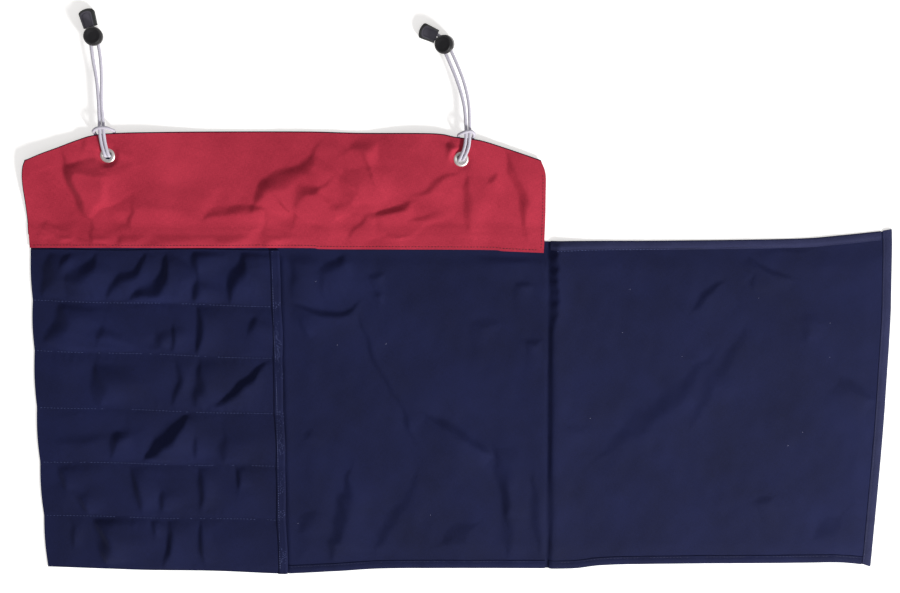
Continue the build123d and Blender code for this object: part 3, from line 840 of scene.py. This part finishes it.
fold_y = 125.35
tilt = math.tan(math.radians(3.0))
left_curl = 3.4
eyelets = [(-331.0, 196.25), (0.3, 192.86)]
hole_radius = 6.2
band_columns, band_rows = 270, 66
band_foot_left, band_foot_right = (-410.2, 108.6), (band_end_x, 103.6)
band_top_left, band_top_right = (-407.3, 191.4), (75.6, 190.8)
band_foot = line_through([band_foot_left, (-330, 108.6), (-153, 108.4), (-124.5, 107.2),
                          (18.5, 106.6), (41.4, 105.2), band_foot_right], band_columns)
band_side_left = line_through([band_foot_left, (-410.2, 135), (-410.8, 154), (-411.7, 170.3),
                               (-410.2, 184.4), band_top_left], band_rows)
band_side_right = line_through([band_foot_right, (80.0, 130), (80.2, 160), (79.8, 179),
                                band_top_right], band_rows)
band_top = line_through([band_top_left, (-392.9, 197.4), (-377.3, 203), (-359, 209.8),
                         (-343, 214.4), (-320, 216.4), (-275, 217.2), (-207, 217.5),
                         (-140, 217.4), (-95, 216.2), (-27, 216), (-4.5, 212.6), (18, 209.6),
                         (41, 202.6), (60, 196.2), band_top_right], band_columns)
room_at = [108, 115, 121, 128, 140, 165]
room_over_seam = [4.0, 3.5, 1.9, 1.7, 3.8, 9.0]
band_folds = [
    ([(-371, 188), (-365, 164), (-352, 138)], 24, 0.48),
    ([(-352, 217), (-355, 203)], 11.7, 0.19),
    ([(-392, 136), (-398, 124)], 23.2, 0.12),
    ([(-385, 121), (-381, 112)], 7, 0.31),
    ([(-350, 128), (-352, 114)], 11.7, 0.34),
    ([(-322, 121), (-324, 112)], 7.8, 0.25),
    ([(-309, 143), (-310, 123)], 15.6, 0.34),
    ([(-289, 128), (-283, 114)], 11.7, 0.42),
    ([(-327, 169), (-273, 160), (-227, 169)], 46.6, 0.08),
    ([(-254, 128), (-222, 143), (-187, 146)], 17.4, 0.25),
    ([(-196, 151), (-184, 171), (-149, 186), (-139, 197)], 27.2, 0.28),
    ([(-156, 140), (-147, 157), (-133, 167)], 23.2, 0.31),
    ([(-136, 140), (-130, 128)], 11.7, 0.25),
    ([(-104, 203), (-95, 208), (-78, 211)], 19.4, 0.19),
    ([(-107, 183), (-104, 149)], 23.2, 0.12),
    ([(-81, 138), (-61, 146), (-47, 151)], 11.7, 0.34),
    ([(-44, 157), (-4, 181)], 7.8, 0.21),
    ([(-108, 115), (-93, 137), (-79, 140)], 5.8, 0.25),
    ([(-67, 125), (-62, 114)], 23.2, 0.15),
    ([(8, 125), (7, 149), (5, 177)], 11.7, 0.25),
    ([(43, 198), (50, 171), (59, 149), (62, 120)], 13.6, 0.34),
    ([(25, 171), (36, 180)], 7.8, 0.25),
    ([(-14, 208), (2, 204)], 7, 0.43),
    ([(-10, 213), (2, 210)], 5.4, 0.37),
    ([(-185, 128), (-188, 111)], 15.6, 0.21),
    ([(-231, 123), (-232, 112)], 11.7, 0.19),
    ([(-334, 208), (-337, 197)], 11.7, 0.19),
]


def band_height(x, y):
    """Height of the red face of the band, which the two hitches hold up.

    Its folds stay low over the seam, where the band turns, and flat round the eyelets.
    """
    lying = 0.30 * (uneven(x, y, 70, 11) + 1) + 0.10 * (uneven(x, y, 18, 12) + 1)
    shape = folds(x, y, band_folds) + 0.7 * soft_step((y - band_seam_y) / 10)
    shape = lying + np.clip(keep_above(shape, 2.4) - 0.28, 0, 8)
    room = np.interp(y, room_at, room_over_seam)
    shape = -np.logaddexp(-2.6 * shape, -2.6 * room) / 2.6
    for place in eyelets:
        shape = shape * (1 - np.exp(-((np.hypot(x - place[0], y - place[1]) / 10) ** 6)))
    # The hitches hold it up at the eyelets; it sags between them, and its left end curls up.
    between = soft_step((x + 300) / 70) * soft_step((-30 - x) / 70)
    lift = np.maximum(y - fold_y, 0) * tilt * (1 - 0.8 * between)
    lift = lift * (1 - 0.5 * soft_step((x - 18) / 45))
    lift += left_curl * soft_step((-345 - x) / 60) * soft_step((y - 132) / 60)
    foot = 1 - 0.75 * soft_step((band_seam_y - y) / 6)
    near_top = 1 - 0.5 * soft_step((y - 200) / 14)
    off_panel = cloth * soft_step((y - fold_y) / 8)
    return 3 * cloth + lift - off_panel + shape * near_top * foot


def around_eyelets(x, y):
    """A grid's places, those near each eyelet moved out to the rim of its hole."""
    reach = hole_radius * 2.4
    for place in eyelets:
        away = np.hypot(x - place[0], y - place[1])
        pull = np.where(away < reach, hole_radius + (reach - hole_radius) * away / reach, away)
        x = place[0] + (x - place[0]) * pull / (away + 1e-6)
        y = place[1] + (y - place[1]) * pull / (away + 1e-6)
    return x, y


band_x, band_y = around_eyelets(
    *spread_between(band_foot, band_top, band_side_left, band_side_right)
)
band_cloth = closed_sheet(
    "band_cloth", band_x, band_y, band_height(band_x, band_y), red_canvas, holes=eyelets
)
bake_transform(band_cloth)
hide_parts("band_root_strip", "band_front")


# Lining of the tie band
# The back of the band is navy canvas, cut a little larger, so that it shows as a thin rim
# along the top and the left end.

lining_rim = 0.9
lining_gap = 0.3
lining_thick = 0.6
lining_foot_y = 121.5
lining_rows = 58
lining_left = line_through([(-411.0, lining_foot_y), (-411.4, 145), (-412.6, 170.3),
                            (-411.2, 184.4), (-408.2, 192.3)], lining_rows)
lining_right = line_through([(band_end_x, lining_foot_y), (79.5, 140), (79.7, 160),
                             (79.4, 179.4), (75.4, 191.6)], lining_rows)
lining_foot = np.column_stack([band_foot[:, 0], np.full(len(band_foot), lining_foot_y)])
lining_top = band_top + (0, lining_rim)
lining_top[0], lining_top[-1] = lining_left[-1], lining_right[-1]
lining_foot[0], lining_foot[-1] = lining_left[0], lining_right[0]
lining_x, lining_y = around_eyelets(
    *spread_between(lining_foot, lining_top, lining_left, lining_right)
)
lining_z = band_height(lining_x, lining_y) - cloth - lining_gap
lining = closed_sheet("band_lining", lining_x, lining_y, lining_z, navy_canvas,
                      thickness=lining_thick, holes=eyelets)
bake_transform(lining)
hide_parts("band_backing")


# Stitching of the tie band
# A row of heavy dark red stitches sews the band down along its foot, and another closes its right
# end. Their dark red is partly the thread's own colour and partly painted shade of the needle
# holes.

# Painted shade: the thread is darkened to stand in for the shade in the needle holes.
shaded_red_thread = spun("shaded_red_thread", colour(58, 9, 22), colour(98, 20, 38))
heavy = {"pitch": 3.1, "worn": False, "proud": 0.34, "width": 1.0}


def on_band(x, y):
    """Height of a stitch on the band."""
    return band_height(x, y) + 0.12


foot_row = band_foot[2:-2] + (0, 2.6)
foot_stitches = stitch_row("band_foot_stitches", foot_row, on_band, shaded_red_thread, "mat", **heavy)
end_row = band_side_right[3:-9] - (2.8, 0)
end_stitches = stitch_row("band_end_stitches", end_row, on_band, shaded_red_thread, **heavy)
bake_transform(end_stitches)


# Elastic cords
# Each cord is one length of braided grey elastic. Its ends are held in a clamp, and its
# middle goes through the eyelet and back over its own two strands, which makes a hitch.

cord_width = 3.0
braided = Finish("cord_grey")
braid_place = braided.node("TexCoord", {}, {}, output=3)
aside = braided.node("SeparateXYZ", {}, {0: braid_place})
along = aside.output(1)
braid_turns = 5200
crossing = ((aside + along) * braid_turns).sine() * ((along - aside) * braid_turns).sine()
fibre = braided.noise(braid_place, 1500, 2)
cord_tint = braided.mix(crossing * 0.3 + fibre * 0.5 + 0.15, colour(160, 155, 170),
                        colour(246, 242, 252))
cord_bump = braided.node(
    "Bump", {}, {"Height": crossing * 0.5 + fibre, "Strength": 0.5, "Distance": 0.3 * mm}
)
cord_grey = braided.surface(braided.node("BsdfPrincipled", {}, {
    "Base Color": cord_tint, "Roughness": 0.7, "Normal": cord_bump, "Sheen Weight": 0.25,
}))


def elastic(side, route):
    """One cord: a round tube along its route."""
    curve = bpy.data.curves.new("elastic_" + side, "CURVE")
    curve.dimensions = "3D"
    curve.bevel_depth = cord_width / 2 * mm
    curve.bevel_resolution = 5
    curve.resolution_u = 16
    curve.use_fill_caps = True
    spline = curve.splines.new("NURBS")
    spline.points.add(len(route) - 1)
    for point, (x, y, z) in zip(spline.points, route):
        point.co = (x * mm, y * mm, z * mm, 1)
    spline.order_u = 3
    spline.use_endpoint_u = True
    curve.materials.append(cord_grey)
    piece = bpy.data.objects.new("elastic_" + side, curve)
    bpy.context.scene.collection.objects.link(piece)
    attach(piece, "band")
    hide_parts("elastic_cord_" + side)
    return piece


def beside(place, points):
    """Points written from an eyelet's middle, moved to where the eyelet is."""
    return [(place[0] + x, place[1] + y, z) for x, y, z in points]


# Heights of a strand below the eyelet, on top of the band and where it crosses over itself.
under, over, bight = 1.9, 8.32, 12.52
left_route = (
    [(-345.1, 320.9, 6.3), (-342.8, 313.4, 8.1), (-341.3, 308.3, 8.6)]
    + beside(eyelets[0], [
        (-8.8, 89.0, 8.6), (-5.9, 71.0, 8.5), (-5.2, 50.0, 8.5), (-5.3, 34.0, 8.5),
        (-5.5, 22.0, 8.7), (-4.6, 11.0, over), (-1.7, -0.6, over),
        (-1.7, -0.6, under), (-6.4, 11.0, 2.2),
        (-12.2, 21.6, 2.7), (-11.7, 22.6, 9.6), (-7.0, 26.0, bight),
        (1.4, 26.6, bight), (6.8, 23.6, 9.6), (7.2, 22.4, 2.7),
        (3.4, 11.0, 2.2), (1.7, -0.6, under),
        (1.7, -0.6, over), (-1.0, 11.0, over), (-1.9, 22.0, 8.7),
        (-2.1, 34.0, 8.2), (-2.9, 50.0, 8.0), (-1.6, 69.0, 7.8), (-1.5, 87.0, 7.5),
    ])
    + [(-334.2, 298.6, 7.5), (-335.6, 308.6, 7.6), (-338.8, 314.7, 8.1), (-341.1, 322.1, 6.3)]
)
right_route = (
    [(-30.5, 306.5, 6.4), (-23.4, 303.4, 8.3), (-19.8, 301.3, 7.7), (-15.5, 292.7, 7.8)]
    + beside(eyelets[1], [
        (-9.4, 86.0, 7.8), (-2.6, 69.5, 7.9), (2.6, 52.0, 8.1), (4.2, 36.0, 8.3),
        (4.7, 21.0, 8.7), (3.2, 10.0, over), (-1.7, -0.9, over),
        (-1.7, -0.9, under), (-2.4, 9.5, 2.2),
        (-2.6, 21.9, 2.7), (-1.9, 23.0, 9.6), (3.2, 25.6, bight),
        (9.0, 26.6, bight), (12.2, 24.0, 9.6), (12.0, 21.4, 2.7),
        (6.6, 10.5, 2.2), (1.8, -0.6, under),
        (1.8, -0.6, over), (7.0, 9.5, over), (8.2, 21.0, 8.8),
        (7.9, 36.0, 8.8), (7.2, 53.0, 8.9), (2.6, 71.5, 9.0), (-3.0, 85.5, 9.0),
    ])
    + [(-9.4, 293.2, 8.9), (-15.2, 302.7, 8.6), (-21.7, 307.2, 8.3), (-28.8, 310.3, 6.4)]
)
fittings = ["lock_barrel_", "lock_plunger_", "lock_spring_", "cord_end_", "cord_end_cover_"]
for side, route in (("left", left_route), ("right", right_route)):
    elastic(side, route)
    [value * mm for value in route[0]]
    [nodes[name + side] for name in fittings]


# Metal and moulded fittings
# The eyelets and their washers are pressed from nickel-plated brass. The locks' barrels and
# push buttons and the cord ends are moulded black nylon, and the springs are steel wire.


def set_finish(node, finish, bevel=0.0):
    """Gives a solid its finish and, if asked, softly rounded edges."""
    piece = nodes[node]
    piece.data.materials.clear()
    piece.data.materials.append(finish)
    if bevel:
        rounded = piece.modifiers.new("rounded edges", "BEVEL")
        rounded.width = bevel * mm
        rounded.segments = 2
        rounded.limit_method = "ANGLE"
        rounded.angle_limit = math.radians(40)
        rounded.harden_normals = True


def metal(name, tint, worn, rough):
    """Bright metal, dulled a little in patches."""
    finish = Finish(name)
    place = finish.node("TexCoord", {}, {}, output=3)
    patches = finish.noise(place, 420, 4)
    fine = finish.noise(place, 2600, 2)
    shade = finish.mix(patches, tint, worn)
    bump = finish.node("Bump", {}, {"Height": fine, "Strength": 0.15, "Distance": 0.05 * mm})
    return finish.surface(finish.node("BsdfPrincipled", {}, {
        "Base Color": shade, "Metallic": 1.0, "Roughness": patches * 0.25 + rough,
        "Normal": bump,
    }))


def nylon(name, base, worn, rough, face=None, shine=0.32):
    """Moulded nylon; face is a paler colour painted on its upward faces as a painted highlight.
    """
    finish = Finish(name)
    place = finish.node("TexCoord", {}, {}, output=3)
    cloudy = finish.noise(place, 160, 3)
    grain = finish.noise(place, 3200, 2)
    shade = finish.mix(cloudy * 0.7 + grain * 0.2, base, worn)
    # Painted highlight: faces that point up are painted in the paler face colour.
    if face:
        facing = finish.node("TexCoord", {}, {}, output=1)
        up = finish.node("SeparateXYZ", {}, {0: facing}, output=2)
        flat = finish.node("Clamp", {}, {"Value": (up - 0.86) * 12})
        shade = finish.mix(flat, shade, face)
    bump = finish.node("Bump", {}, {"Height": grain, "Strength": 0.22, "Distance": 0.06 * mm})
    return finish.surface(finish.node("BsdfPrincipled", {}, {
        "Base Color": shade, "Roughness": grain * 0.14 + rough, "Normal": bump,
        "Specular IOR Level": shine,
    }))


nickel = metal("nickel", colour(214, 210, 204), colour(244, 241, 236), rough=0.36)
spring_steel = metal("spring_steel", colour(150, 152, 156), colour(196, 198, 202), rough=0.25)
black_plastic = nylon("black_plastic", colour(16, 15, 17), colour(29, 28, 31), rough=0.42)
# The cord ends get a painted highlight on their upward faces.
top_lit_plastic = nylon("top_lit_plastic", colour(17, 18, 18), colour(34, 36, 36), rough=0.36,
                       face=colour(92, 89, 99))
barrel_plastic = nylon("barrel_plastic", colour(38, 36, 37), colour(62, 60, 60), rough=0.16,
                       shine=0.7)
for side in ("left", "right"):
    set_finish("eyelet_" + side, nickel)
    set_finish("eyelet_washer_" + side, nickel, bevel=0.12)
    set_finish("lock_spring_" + side, spring_steel)
    set_finish("lock_barrel_" + side, barrel_plastic, bevel=0.25)
    set_finish("lock_plunger_" + side, black_plastic, bevel=0.3)
    set_finish("cord_end_" + side, top_lit_plastic, bevel=0.25)
    set_finish("cord_end_cover_" + side, top_lit_plastic, bevel=0.25)
